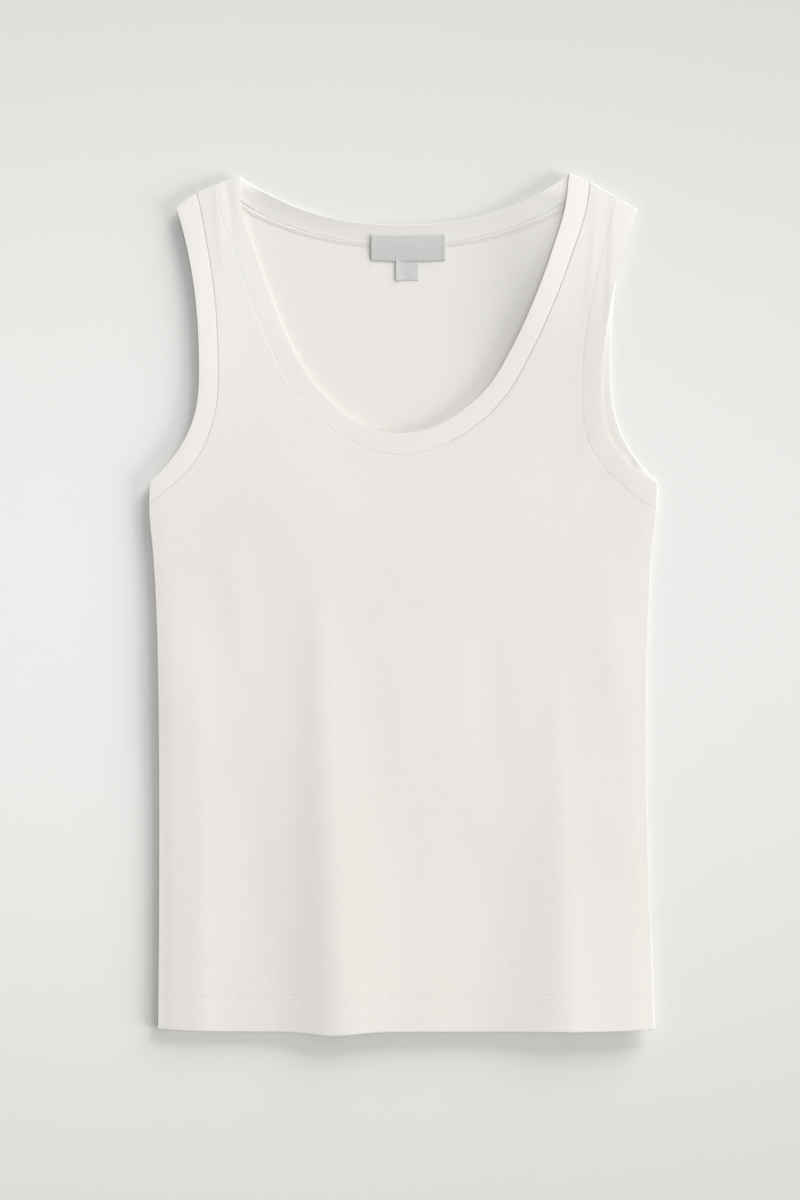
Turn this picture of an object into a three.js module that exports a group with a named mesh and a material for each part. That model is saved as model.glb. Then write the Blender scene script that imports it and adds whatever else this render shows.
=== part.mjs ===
// A scoop-neck tank top in fine jersey, laid out flat on its back with its front uppermost.
// It is built from the pieces that are cut and sewn: a front and a back panel with their hems
// turned up inside, a neck binding, two armhole bindings, a woven label and a size tab.
// Lengths are millimetres. X runs across the garment, Y up it from hem to shoulders, and Z up
// from the surface that it lies on. Left and right are as seen from above.
import * as THREE from "three";

// Cloth and seams
const jersey = 1.0; // one layer
const binding = 1.7; // a strip folded double
const labelTape = 1.0;
const seamGap = 0.3; // clearance between pieces that are sewn together
const bindingWidth = 15.8;
const bindingStretch = 1.5; // how much narrower a binding is halfway round its curve
const hemDepth = 25;

// Lengthwise places, measured from the middle of the garment's length
const hemY = -315.4;
const backNeckY = 281.4;
const underarmY = 90.7;

// How thick the garment lies
const loft = 5.4; // height of the front's outer face where it has no fold
const seamZ = 2.7; // height of the side and shoulder seams
const sideRoll = 4.5; // how far in from a side seam the cloth starts to turn over
const shoulderRoll = 3.5;

// Neck and shoulder of each side. The neck point is the top end of the neck edge, the tip is
// the top end of the armhole edge, and each rise lifts the shoulder line at a binding's seam.
const sides = {
  left: {
    sign: -1, neckX: 121.0, neckY: 316.9, tipX: 168.2, tipY: 294.0,
    neckSeamRise: 2.3, armSeamRise: 3.2, armSeamOnSide: 16.5,
  },
  right: {
    sign: 1, neckX: 122.4, neckY: 319.0, tipX: 172.9, tipY: 291.5,
    neckSeamRise: 1.8, armSeamRise: 1.7, armSeamOnSide: 20.5,
  },
};
const neckSeamOnShoulder = 16.5; // width of the neck binding along the shoulder line
const armSeamOnShoulder = 18.5;
const underarmClearance = 0.02; // share of its width by which an armhole binding stands back there

// The front neck edge below the two neck points. X is outwards from the middle of the garment.
const scoop = [
  { leftX: 119.4, leftY: 291.5, rightX: 119.0, rightY: 293.0 },
  { leftX: 110.8, leftY: 264.5, rightX: 110.0, rightY: 263.0 },
  { leftX: 99.4, leftY: 231.5, rightX: 97.7, rightY: 229.0 },
  { leftX: 85.6, leftY: 197.0, rightX: 81.6, rightY: 193.5 },
  { leftX: 67.5, leftY: 165.2, rightX: 62.4, rightY: 161.5 },
  { leftX: 45.5, leftY: 143.2, rightX: 38.6, rightY: 140.4 },
  { leftX: 22.0, leftY: 130.3, rightX: 17.5, rightY: 130.0 },
];
const scoopBottomY = 127;
const backNeckPower = 2.4; // how squarely the nape's curve turns down from the neck points

// Each armhole edge comes in from the shoulder tip to its narrowest place, then swings out to
// the underarm. The powers say how sharply its upper and lower stretches bend.
const armholes = {
  left: {
    front: { narrowX: 151.2, narrowY: 172, upperPower: 2.3, lowerPower: 2.5 },
    back: { narrowX: 149.6, narrowY: 172, upperPower: 2.2, lowerPower: 2.6 },
  },
  right: {
    front: { narrowX: 146.5, narrowY: 164, upperPower: 1.8, lowerPower: 3.3 },
    back: { narrowX: 153.2, narrowY: 178, upperPower: 2.6, lowerPower: 2.8 },
  },
};

// Half width at the side seams, from hem to underarm
const sideSections = [
  { y: -314.5, left: 181.6, right: 185.3 },
  { y: -250.0, left: 181.0, right: 183.0 },
  { y: -150.0, left: 180.8, right: 179.8 },
  { y: -70.0, left: 181.3, right: 179.2 },
  { y: 0.0, left: 183.0, right: 181.0 },
  { y: 40.0, left: 185.4, right: 183.2 },
  { y: 71.2, left: 188.2, right: 186.9 },
  { y: 90.7, left: 187.8, right: 187.7 },
];

// Soft folds of the front. Each crest runs from its top, where it fades out, down to the hem,
// and falls away over its left and right widths.
const folds = [
  { name: "main", topX: -70, topY: 48, hemX: -49, height: 3.2, left: 34, right: 24, growth: 0.9 },
  { name: "left side", topX: -158, topY: 40, hemX: -163, height: 1.1, left: 16, right: 26, growth: 0.6 },
  { name: "right", topX: 100, topY: -40, hemX: 124, height: 2.4, left: 32, right: 22, growth: 1.1 },
  { name: "hem ripple", topX: 4, topY: -250, hemX: 8, height: 0.8, left: 12, right: 13, growth: 1.5 },
];

// Places where the front stands up off the back
const lifts = [
  { name: "right neck edge", x: 98, y: 205, height: 3.8, across: 40, along: 82 },
  { name: "left neck edge", x: -100, y: 225, height: 1.0, across: 34, along: 70 },
];

// The front hem swings down under the main fold and lifts at both side seams
const hemSwing = { x: -52, depth: 2.8, width: 22 };
const hemCornerLift = 2.2;

// Label and size tab, seen from above: their middles, sizes and heights over the surface
const label = { x: 3.4, y: 263.8, width: 55.5, height: 19.2, z: 2.0, sag: 0.8, bulge: 0.6 };
const tab = { x: 2.6, y: 248.6, width: 17, height: 17.6, z: 1.3, sag: 0, bulge: 0 };

// Mesh steps
const panelSteps = {
  front: { across: 12, roll: 3, rows: 34, scoopAt: 0.5, underarmAt: 0.56 },
  back: { across: 6, roll: 3, rows: 24, scoopAt: 0.7, underarmAt: 0.5 },
};
const hemSteps = 4;
const bindingSteps = 2; // across a binding
const strapLength = 210; // from underarm to shoulder

const offWhite = 0xe9e6df;
const materials = {
  jersey: new THREE.MeshStandardMaterial({ color: offWhite, roughness: 0.9, metalness: 0 }),
  binding: new THREE.MeshStandardMaterial({ color: 0xefece6, roughness: 0.85, metalness: 0 }),
  label: new THREE.MeshStandardMaterial({ color: 0xcdcdcb, roughness: 0.6, metalness: 0 }),
};

const mix = (a, b, t) => a + (b - a) * t;
const clamp = (v) => Math.min(1, Math.max(0, v)); // to between 0 and 1
const ease = (t) => clamp(t) ** 2 * (3 - 2 * clamp(t));
const lineUp = (a, b, t) => ({ x: mix(a.x, b.x, t), y: mix(a.y, b.y, t) });

// A column of the side table at height y, on a smooth curve through its rows
function halfWidth(side, y) {
  const last = sideSections.length - 1;
  if (y <= sideSections[0].y) return sideSections[0][side];
  if (y >= sideSections[last].y) return sideSections[last][side];
  const k = sideSections.findIndex((s) => s.y > y);
  const before = sideSections[Math.max(0, k - 2)];
  const [a, b] = [sideSections[k - 1], sideSections[k]];
  const after = sideSections[Math.min(last, k + 1)];
  const t = (y - a.y) / (b.y - a.y);
  const span = b.y - a.y;
  const slopeA = ((b[side] - before[side]) / (b.y - before.y)) * span;
  const slopeB = ((after[side] - a[side]) / (after.y - a.y)) * span;
  const bow = t * (1 - t) * ((1 - t) * (slopeA - (b[side] - a[side])) - t * (slopeB - (b[side] - a[side])));
  return mix(a[side], b[side], t) + bow;
}

// The line that a shoulder folds along: straight from neck point to tip, raised at the two
// binding seams. Along is 0 at the neck point and 1 at the tip.
function shoulderFrame(side) {
  const s = sides[side];
  const [runX, runY] = [s.tipX - s.neckX, s.tipY - s.neckY];
  const length = Math.hypot(runX, runY);
  return { ...s, length, along: { x: runX / length, y: runY / length }, out: { x: -runY / length, y: runX / length } };
}
function shoulderRise(frame, distance) {
  const [a, b] = [neckSeamOnShoulder, frame.length - armSeamOnShoulder];
  if (distance < a) return frame.neckSeamRise * clamp(distance / a);
  if (distance < b) return mix(frame.neckSeamRise, frame.armSeamRise, (distance - a) / (b - a));
  return frame.armSeamRise * clamp((frame.length - distance) / armSeamOnShoulder);
}
function shoulderPoint(side, distance) {
  const frame = shoulderFrame(side);
  const rise = shoulderRise(frame, distance);
  return {
    x: frame.neckX + frame.along.x * distance + frame.out.x * rise,
    y: frame.neckY + frame.along.y * distance + frame.out.y * rise,
  };
}
function insideShoulder(side, x, y) {
  const frame = shoulderFrame(side);
  const [fromX, fromY] = [x - frame.neckX, y - frame.neckY];
  const distance = fromX * frame.along.x + fromY * frame.along.y;
  return { depth: shoulderRise(frame, distance) - (fromX * frame.out.x + fromY * frame.out.y), out: frame.out };
}

// The neck edge of one side, from the neck point (u = 0) to the middle of the neck (u = 1). The
// scoop is one smooth curve from neck point to neck point.
const scoopCurve = new THREE.CatmullRomCurve3([
  new THREE.Vector3(-sides.left.neckX, sides.left.neckY, 0),
  ...scoop.map((row) => new THREE.Vector3(-row.leftX, row.leftY, 0)),
  new THREE.Vector3(0, scoopBottomY, 0),
  ...scoop.map((row) => new THREE.Vector3(row.rightX, row.rightY, 0)).reverse(),
  new THREE.Vector3(sides.right.neckX, sides.right.neckY, 0),
]);
function neckEdge(side, layer, u) {
  if (layer === "front") {
    const p = scoopCurve.getPoint(side === "left" ? u / 2 : 1 - u / 2);
    return { x: Math.abs(p.x), y: p.y };
  }
  const s = sides[side];
  const x = s.neckX * (1 - u);
  return { x, y: s.neckY - (s.neckY - backNeckY) * (1 - (x / s.neckX) ** backNeckPower) };
}

// The armhole edge of one side, from the shoulder tip (u = 0) to the underarm (u = 1)
function armholeEdge(side, layer, u) {
  const s = sides[side];
  const a = armholes[side][layer];
  const y = mix(s.tipY, underarmY, u);
  if (y > a.narrowY) {
    return { x: a.narrowX + (s.tipX - a.narrowX) * ((y - a.narrowY) / (s.tipY - a.narrowY)) ** a.upperPower, y };
  }
  const underarmX = halfWidth(side, underarmY);
  return { x: a.narrowX + (underarmX - a.narrowX) * ((a.narrowY - y) / (a.narrowY - underarmY)) ** a.lowerPower, y };
}

// A line inside an edge by the given offset, a little less halfway along. At its ends it is
// steered onto the fold lines, so that front and back meet there.
function insideLine(edge, u, fullOffset, startShift, endShift) {
  const offset = fullOffset * (1 - (bindingStretch / bindingWidth) * Math.sin(Math.PI * u));
  const step = 0.002;
  const p = edge(u);
  const [before, after] = [edge(Math.max(0, u - step)), edge(Math.min(1, u + step))];
  const [dx, dy] = [after.x - before.x, after.y - before.y];
  const length = Math.hypot(dx, dy);
  const square = { x: (-dy / length) * offset, y: (dx / length) * offset };
  const startShare = 1 - ease(u / 0.16);
  const endShare = 1 - ease((1 - u) / 0.12);
  const shift = { x: square.x, y: square.y };
  for (const [share, to] of [[startShare, startShift], [endShare, endShift]]) {
    shift.x = mix(shift.x, to.x, share);
    shift.y = mix(shift.y, to.y, share);
  }
  return { x: p.x + shift.x, y: p.y + shift.y };
}
function neckLine(side, layer, u, offset) {
  const s = sides[side];
  const onShoulder = shoulderPoint(side, (offset / bindingWidth) * neckSeamOnShoulder);
  const startShift = { x: onShoulder.x - s.neckX, y: onShoulder.y - s.neckY };
  return insideLine((v) => neckEdge(side, layer, v), u, offset, startShift, { x: 0, y: -offset });
}
function armholeLine(side, layer, u, offset) {
  const s = sides[side];
  const frame = shoulderFrame(side);
  const onShoulder = shoulderPoint(side, frame.length - (offset / bindingWidth) * armSeamOnShoulder);
  const startShift = { x: onShoulder.x - s.tipX, y: onShoulder.y - s.tipY };
  const sideY = underarmY - (offset / bindingWidth) * s.armSeamOnSide;
  const endShift = { x: halfWidth(side, sideY) - halfWidth(side, underarmY), y: sideY - underarmY };
  return insideLine((v) => armholeEdge(side, layer, v), u, -offset, startShift, endShift);
}

function hemLine(layer, x, side) {
  const corner = hemCornerLift * Math.abs(x / halfWidth(side, hemY)) ** 8;
  const swing = layer === "front" ? hemSwing.depth * Math.exp(-(((x - hemSwing.x) / hemSwing.width) ** 2)) : 0;
  return hemY + corner - swing;
}

// Height of the front's outer face away from the seams
function frontHeight(x, y) {
  let z = loft;
  for (const f of folds) {
    const down = clamp((f.topY - y) / (f.topY - hemY));
    const fromCrest = x - mix(f.topX, f.hemX, down);
    const width = fromCrest < 0 ? f.left : f.right;
    z += f.height * down ** f.growth * ease(down * 6) * Math.exp(-((fromCrest / width) ** 2));
  }
  for (const l of lifts) {
    z += l.height * Math.exp(-(((x - l.x) / l.across) ** 2) - ((y - l.y) / l.along) ** 2);
  }
  return z;
}

// The place of a point of the laid-out cloth: x (outwards) and y from above, the layer, how far
// it lies inside the outer face, and the share of the seam gap that it keeps at the fold lines.
function place(side, layer, x, y, inset, gap) {
  const { sign } = sides[side];
  const sideDepth = halfWidth(side, y) - x;
  const shoulder = insideShoulder(side, x, y);
  const sinSide = clamp(1 - sideDepth / sideRoll);
  const sinShoulder = clamp(1 - shoulder.depth / shoulderRoll);
  const flat = Math.sqrt(1 - sinSide ** 2) * Math.sqrt(1 - sinShoulder ** 2);
  const up = layer === "front" ? 1 : -1;
  const seam = seamZ + (up * gap) / 2;
  const face = layer === "front" ? frontHeight(sign * x, y) : 0;
  const normal = new THREE.Vector3(
    sinSide + sinShoulder * shoulder.out.x,
    sinShoulder * shoulder.out.y,
    up * flat,
  ).normalize();
  const outer = new THREE.Vector3(x, y, mix(seam, face, flat));
  outer.addScaledVector(normal, -inset);
  outer.x *= sign;
  return outer;
}

// A closed wall. Each point is a pair, the outer and the inner face of the cloth, and each quad
// names four points anticlockwise as seen from outside. Open edges are closed by a rim.
function wall(name, points, quads, material) {
  const count = points.length;
  const positions = [...points.map((p) => p.face), ...points.map((p) => p.back)].flatMap((v) => v.toArray());
  const triangles = [];
  const edges = new Set();
  for (const [a, b, c, d] of quads) {
    triangles.push(a, b, c, a, c, d);
    triangles.push(count + c, count + b, count + a, count + d, count + c, count + a);
    for (const [from, to] of [[a, b], [b, c], [c, d], [d, a]]) edges.add(`${from} ${to}`);
  }
  for (const edge of edges) {
    const [from, to] = edge.split(" ").map(Number);
    if (edges.has(`${to} ${from}`)) continue;
    triangles.push(to, from, count + from, to, count + from, count + to);
  }
  const geometry = new THREE.BufferGeometry();
  geometry.setAttribute("position", new THREE.Float32BufferAttribute(positions, 3));
  geometry.setIndex(triangles);
  geometry.computeVertexNormals();
  const mesh = new THREE.Mesh(geometry, material);
  mesh.name = name;
  return mesh;
}

// Sines from 0 to 1 that step evenly round a quarter turn, as distances in from a fold line
function rollDepths(radius, steps) {
  return Array.from({ length: steps + 1 }, (_, k) => radius * (1 - Math.sin((k / steps) * (Math.PI / 2))));
}

// The shares of the way from hem to shoulder at which a panel has rows: even ones, one at the
// bottom of its neck seam, and close ones where the cloth turns over at underarm and shoulder
function panelShares(steps) {
  const breaks = [steps.scoopAt, steps.underarmAt];
  for (const depth of rollDepths(shoulderRoll, steps.roll)) {
    breaks.push(1 - (depth / strapLength) * (1 - steps.underarmAt));
  }
  for (const depth of rollDepths(sideRoll, steps.roll)) {
    if (depth > 0) breaks.push(steps.underarmAt + (depth / strapLength) * (1 - steps.underarmAt));
  }
  const even = Array.from({ length: steps.rows }, (_, k) => k / steps.rows);
  const kept = even.filter((t) => breaks.every((b) => Math.abs(b - t) > 0.4 / steps.rows));
  return [...kept, ...breaks].sort((a, b) => a - b);
}
const alongNeck = (steps, t) => 1 - (t - steps.scoopAt) / (1 - steps.scoopAt);
const alongArmhole = (steps, t) => 1 - (t - steps.underarmAt) / (1 - steps.underarmAt);

// The rows of a panel, each with the insets of its two faces and how far they lie above the
// hem line. The first rows are the hem, turned up inside.
function panelRows(steps) {
  const turn = jersey + seamGap / 2;
  const rows = [
    { t: 0, lift: hemDepth, face: 2 * turn, back: 2 * turn - jersey },
    { t: 0, lift: hemDepth / 2, face: 2 * turn, back: 2 * turn - jersey },
  ];
  for (let k = hemSteps; k >= 0; k--) {
    const angle = (k / hemSteps) * Math.PI;
    rows.push({
      t: 0,
      faceLift: turn - turn * Math.sin(angle),
      backLift: turn - (turn - jersey) * Math.sin(angle),
      face: turn - turn * Math.cos(angle),
      back: turn - (turn - jersey) * Math.cos(angle),
    });
  }
  for (const t of panelShares(steps).slice(1)) rows.push({ t, lift: 0, face: 0, back: jersey });
  return rows;
}

// The two long boundaries of half a panel: up the middle and round the neck seam, and up the
// side and round the armhole seam
function innerBoundary(side, layer, t, steps) {
  const offset = bindingWidth + seamGap / 2;
  if (t > steps.scoopAt) return neckLine(side, layer, alongNeck(steps, t), offset);
  const top = neckLine(side, layer, 1, offset);
  return { x: 0, y: mix(hemY, top.y, t / steps.scoopAt) };
}
function outerBoundary(side, layer, t, steps) {
  const offset = bindingWidth + seamGap / 2;
  if (t > steps.underarmAt) return armholeLine(side, layer, alongArmhole(steps, t), offset);
  const top = armholeLine(side, layer, 1, offset);
  const y = mix(hemY, top.y, t / steps.underarmAt);
  return { x: halfWidth(side, y), y };
}

// A panel: rows of points from the middle of the garment out to each side
function panel(name, layer, material) {
  const steps = panelSteps[layer];
  const rows = panelRows(steps);
  const points = [];
  const quads = [];
  const middle = [];
  const rollAt = rollDepths(sideRoll, steps.roll);
  for (const side of ["right", "left"]) {
    const grid = rows.map((row, r) => {
      const inner = innerBoundary(side, layer, row.t, steps);
      const outer = outerBoundary(side, layer, row.t, steps);
      const span = Math.hypot(outer.x - inner.x, outer.y - inner.y);
      const columns = [];
      for (let c = 0; c < steps.across; c++) columns.push((c / steps.across) * (1 - sideRoll / span));
      for (const depth of rollAt) columns.push(1 - depth / span);
      return columns.map((s, c) => {
        if (c === 0 && side === "left" && row.t <= steps.scoopAt) return middle[r];
        const at = lineUp(inner, outer, s);
        const wave = (hemLine(layer, sides[side].sign * at.x, side) - hemY) * (1 - ease(row.t * 8));
        const lifted = (kind) => at.y + wave + (row[kind] ?? row.lift);
        points.push({
          face: place(side, layer, at.x, lifted("faceLift"), row.face, seamGap),
          back: place(side, layer, at.x, lifted("backLift"), row.back, seamGap),
        });
        if (c === 0 && side === "right") middle[r] = points.length - 1;
        return points.length - 1;
      });
    });
    const outward = (side === "right") === (layer === "front");
    for (let r = 0; r + 1 < grid.length; r++) {
      for (let c = 0; c + 1 < grid[r].length; c++) {
        const quad = [grid[r][c], grid[r][c + 1], grid[r + 1][c + 1], grid[r + 1][c]];
        quads.push(outward ? quad : quad.reverse());
      }
    }
  }
  return wall(name, points, quads, material);
}

// A binding: a ring of sections, each a row of points from its free edge to its seam
function ring(name, sections, material) {
  const points = [];
  const quads = [];
  const width = bindingSteps + 1;
  for (const section of sections) {
    for (let v = 0; v < width; v++) {
      const at = section.line((v / bindingSteps) * (bindingWidth - seamGap / 2));
      points.push({
        face: place(section.side, section.layer, at.x, at.y, 0, 0),
        back: place(section.side, section.layer, at.x, at.y, binding, 0),
      });
    }
  }
  for (let k = 0; k < sections.length; k++) {
    const next = (k + 1) % sections.length;
    for (let v = 0; v + 1 < width; v++) {
      quads.push([k * width + v, next * width + v, next * width + v + 1, k * width + v + 1]);
    }
  }
  return wall(name, points, quads, material);
}

// The sections run clockwise as seen from above the front, at the same shares as the rows of
// the panels, so that the seams match. One that two stretches share is made once.
function neckBinding() {
  const sections = [];
  for (const [side, layer] of [["left", "back"], ["right", "back"], ["right", "front"], ["left", "front"]]) {
    const steps = panelSteps[layer];
    const shares = panelShares(steps).filter((t) => t >= steps.scoopAt).map((t) => alongNeck(steps, t));
    if ((side === "left") === (layer === "back")) shares.reverse();
    for (const u of shares.slice(0, -1)) {
      sections.push({ side, layer, line: (offset) => neckLine(side, layer, u, offset) });
    }
  }
  return ring("neck_binding", sections, materials.binding);
}
function armholeBinding(side) {
  const sections = [];
  for (const layer of ["front", "back"]) {
    const steps = panelSteps[layer];
    const shares = panelShares(steps).filter((t) => t >= steps.underarmAt).map((t) => alongArmhole(steps, t));
    if (layer === "back") shares.reverse();
    for (const u of shares.slice(0, -1)) {
      const narrower = 1 - underarmClearance * ease((u - 0.85) / 0.12);
      sections.push({ side, layer, line: (offset) => armholeLine(side, layer, u, offset * narrower) });
    }
  }
  if (side === "left") sections.reverse();
  return ring(`armhole_binding_${side}`, sections, materials.binding);
}

// A flat piece of tape over the back's inner face. Its middle is bowed down the garment by its
// sag, and its bulge carries it over the tab that is tucked under it.
function tape(name, piece, material) {
  const columns = 10;
  const points = [];
  const quads = [];
  for (let r = 0; r < 2; r++) {
    for (let c = 0; c <= columns; c++) {
      const across = (c / columns) * 2 - 1;
      const x = piece.x + (across * piece.width) / 2;
      const y = piece.y + (r - 0.5) * piece.height - piece.sag * (1 - across ** 2);
      const z = piece.z + piece.bulge * ease(2 - Math.abs(x - tab.x) / (0.65 * tab.width));
      points.push({ face: new THREE.Vector3(x, y, z + labelTape), back: new THREE.Vector3(x, y, z) });
    }
  }
  for (let c = 0; c < columns; c++) quads.push([c, c + 1, columns + 2 + c, columns + 1 + c]);
  return wall(name, points, quads, material);
}

const garment = new THREE.Group();
garment.name = "tank_top";
garment.add(
  panel("front_panel", "front", materials.jersey),
  panel("back_panel", "back", materials.jersey),
  neckBinding(),
  armholeBinding("left"),
  armholeBinding("right"),
  tape("neck_label", label, materials.label),
  tape("size_tab", tab, materials.label),
);

// The origin is the middle of the garment as seen from above, on the surface that it lies on
const box = new THREE.Box3().setFromObject(garment);
const middle = box.getCenter(new THREE.Vector3());
garment.position.set(-middle.x, -middle.y, -box.min.z);

export default garment;
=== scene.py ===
# Scoop-neck tank top in fine off-white jersey, laid flat on a pale floor and seen from above.
# Every cloth piece is a closed thin wall worked out with numpy over its solid from the frame.
# Lengths in the dictionaries are millimetres: x across the garment, y up it, z off the floor.
import bpy
import numpy as np
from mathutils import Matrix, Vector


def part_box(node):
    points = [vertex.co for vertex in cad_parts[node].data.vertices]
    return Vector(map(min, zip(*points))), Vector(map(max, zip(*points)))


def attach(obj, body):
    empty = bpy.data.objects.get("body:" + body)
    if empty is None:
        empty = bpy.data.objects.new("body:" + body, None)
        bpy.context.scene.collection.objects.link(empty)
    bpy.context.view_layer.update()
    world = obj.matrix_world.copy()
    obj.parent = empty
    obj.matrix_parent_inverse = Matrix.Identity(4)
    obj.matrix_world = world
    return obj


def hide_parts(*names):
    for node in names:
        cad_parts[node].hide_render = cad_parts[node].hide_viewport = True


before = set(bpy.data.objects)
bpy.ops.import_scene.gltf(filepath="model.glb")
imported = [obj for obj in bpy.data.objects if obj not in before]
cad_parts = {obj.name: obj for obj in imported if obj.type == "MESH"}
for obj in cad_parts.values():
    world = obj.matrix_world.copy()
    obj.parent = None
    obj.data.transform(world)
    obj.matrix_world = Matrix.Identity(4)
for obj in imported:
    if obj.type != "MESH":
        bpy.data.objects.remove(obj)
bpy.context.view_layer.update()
print("frame loaded:", ", ".join(sorted(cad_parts)))

mm = 0.001

# The garment's outline, as in its solids. Left and right are as seen from above, and the
# distances across are outwards from the middle. The rolls are how far from the side and
# shoulder folds the cloth turns down or rises to them.
cut = {
    "hemY": -315.4,
    "backNeckY": 281.4,
    "backNeckPower": 2.4,
    "underarmY": 90.7,
    "scoopBottomY": 127.0,
    "bindingWidth": 15.8,
    "bindingStretch": 1.5,      # how much narrower a binding is halfway round
    "steerStart": 0.16, "steerEnd": 0.12,  # shares of an edge over which its lines meet the folds
    "napeLength": 132.0, "armholeLength": 208.0,  # along half the nape and along one armhole
    "neckSeamOnShoulder": 16.5,
    "armSeamOnShoulder": 18.5,
    "loft": 5.4,                # height of the front's face where it has no fold
    "rightSink": 1.6,           # how much lower it is at the right side
    "seamGap": 0.12,
    "seamShare": 0.96,          # height of the side and shoulder seams, a share of the front's
    "underSide": 1.15, "underShoulder": 1.6,  # shape of the back's rise to its folds
    "hemSwingX": -52, "hemSwingDepth": 2.8, "hemSwingWidth": 22,  # under the main fold
    "hemCornerLift": 2.2, "hemCornerPower": 8,
    "hemWaveReach": 80,         # how far above the hem its own shape dies away
}
sides = {  # front and back: the armhole's narrowest place, and its powers above and below it
    "left": {
        "sign": -1, "neck": (121.0, 316.9), "tip": (168.2, 294.0),
        "neckSeamRise": 2.3, "armSeamRise": 3.2, "armSeamOnSide": 16.5,
        "sideRoll": {"front": 0.8, "back": 9.0}, "shoulderRoll": {"front": 0.8, "back": 18.0},
        "front": ((151.2, 172), 2.3, 2.5),
        "back": ((149.6, 172), 2.2, 2.6),
    },
    "right": {
        "sign": 1, "neck": (122.4, 319.0), "tip": (172.9, 291.5),
        "neckSeamRise": 1.8, "armSeamRise": 1.7, "armSeamOnSide": 20.5,
        "sideRoll": {"front": 0.6, "back": 19.0}, "shoulderRoll": {"front": 0.6, "back": 30.0},
        "front": ((146.5, 164), 1.8, 3.3),
        "back": ((153.2, 178), 2.6, 2.8),
    },
}
sideWidths = {  # half width at the side seams, from hem to underarm
    "y": [-314.5, -250, -150, -70, 0, 40, 71.2, 90.7],
    "left": [181.6, 181.0, 180.8, 181.3, 183.0, 185.4, 188.2, 187.8],
    "right": [185.3, 183.0, 179.8, 179.2, 181.0, 183.2, 186.9, 187.7],
}
scoop = {  # the front neck edge between the neck points and the bottom of the scoop
    "leftX": [119.4, 110.8, 99.4, 85.6, 67.5, 45.5, 22.0],
    "leftY": [291.5, 264.5, 231.5, 197.0, 165.2, 143.2, 130.3],
    "rightX": [119.0, 110.0, 97.7, 81.6, 62.4, 38.6, 17.5],
    "rightY": [293.0, 263.0, 229.0, 193.5, 161.5, 140.4, 130.0],
    "samples": 2400,
}

# The drawing's zero in the frame comes from the neck label, whose middle and top are known
labelInDrawing = {"middleX": 3.4, "topY": 273.4}
labelLow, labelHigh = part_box("neck_label")
originX = (labelLow[0] + labelHigh[0]) / 2 / mm - labelInDrawing["middleX"]
originY = labelHigh[1] / mm - labelInDrawing["topY"]


def mix(a, b, t):
    # The straight way from a to b, at the share t
    return a + (b - a) * t


def ease(t):
    # Smooth step: 3 t squared less 2 t cubed, with t held between 0 and 1
    t = np.clip(t, 0, 1)
    return t * t * (3 - 2 * t)


def smoothThrough(knots, values, at):
    # Cubic Hermite curve through values at knots. The slope at a knot is that of the parabola
    # through it and its two neighbours.
    knots, values, at = (np.asarray(a, float) for a in (knots, values, at))
    step = np.diff(knots)
    rise = np.diff(values) / step
    inner = (rise[:-1] * step[1:] + rise[1:] * step[:-1]) / (step[1:] + step[:-1])
    slope = np.concatenate([rise[:1], inner, rise[-1:]])
    at = np.clip(at, knots[0], knots[-1])
    k = np.clip(np.searchsorted(knots, at) - 1, 0, len(step) - 1)
    t = (at - knots[k]) / step[k]
    bow = t * (1 - t) * step[k] * ((1 - t) * (slope[k] - rise[k]) - t * (slope[k + 1] - rise[k]))
    return mix(values[k], values[k + 1], t) + bow


def halfWidth(side, y):
    # From the middle line out to the side fold, a curve through the widths above
    return smoothThrough(sideWidths["y"], sideWidths[side], y)


# Outline: neck and armhole edges, the seams inside them, and the fold along each shoulder

def scoopByLength():
    # One curve through both halves' points, at knots a root of the distance apart, then
    # measured by its length from each neck point down to the bottom
    x = np.concatenate([
        [-sides["left"]["neck"][0]], -np.array(scoop["leftX"]), [0],
        scoop["rightX"][::-1], [sides["right"]["neck"][0]],
    ])
    y = np.concatenate([
        [sides["left"]["neck"][1]], scoop["leftY"], [cut["scoopBottomY"]],
        scoop["rightY"][::-1], [sides["right"]["neck"][1]],
    ])
    knots = np.concatenate([[0], np.cumsum(np.hypot(np.diff(x), np.diff(y)) ** 0.5)])
    fine = np.linspace(0, knots[-1], scoop["samples"])
    fx, fy = smoothThrough(knots, x, fine), smoothThrough(knots, y, fine)
    halves = {}
    for side, part in (("left", fx <= 0), ("right", fx >= 0)):
        px, py = np.abs(fx[part]), fy[part]
        if side == "right":
            px, py = px[::-1], py[::-1]
        run = np.concatenate([[0], np.cumsum(np.hypot(np.diff(px), np.diff(py)))])
        halves[side] = (run / run[-1], px, py, run[-1])
    return halves


scoopHalves = scoopByLength()


def neckEdge(side, layer, u):
    # u is 0 at the neck point and 1 at the middle. The nape falls from the neck point by a
    # power of the distance across.
    if layer == "front":
        share, px, py, _ = scoopHalves[side]
        return np.interp(u, share, px), np.interp(u, share, py)
    neckX, neckY = sides[side]["neck"]
    x = neckX * (1 - u)
    return x, neckY - (neckY - cut["backNeckY"]) * (1 - (x / neckX) ** cut["backNeckPower"])


def armholeEdge(side, layer, u):
    # u is 0 at the shoulder tip and 1 at the underarm. The edge leaves its narrowest place by
    # one power of the height above it and another of the depth below it.
    (narrowX, narrowY), upper, lower = sides[side][layer]
    tipX, tipY = sides[side]["tip"]
    y = mix(tipY, cut["underarmY"], u)
    above = np.clip((y - narrowY) / (tipY - narrowY), 0, 1) ** upper
    below = np.clip((narrowY - y) / (narrowY - cut["underarmY"]), 0, 1) ** lower
    underarmX = halfWidth(side, cut["underarmY"])
    return narrowX + (tipX - narrowX) * above + (underarmX - narrowX) * below, y


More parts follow.
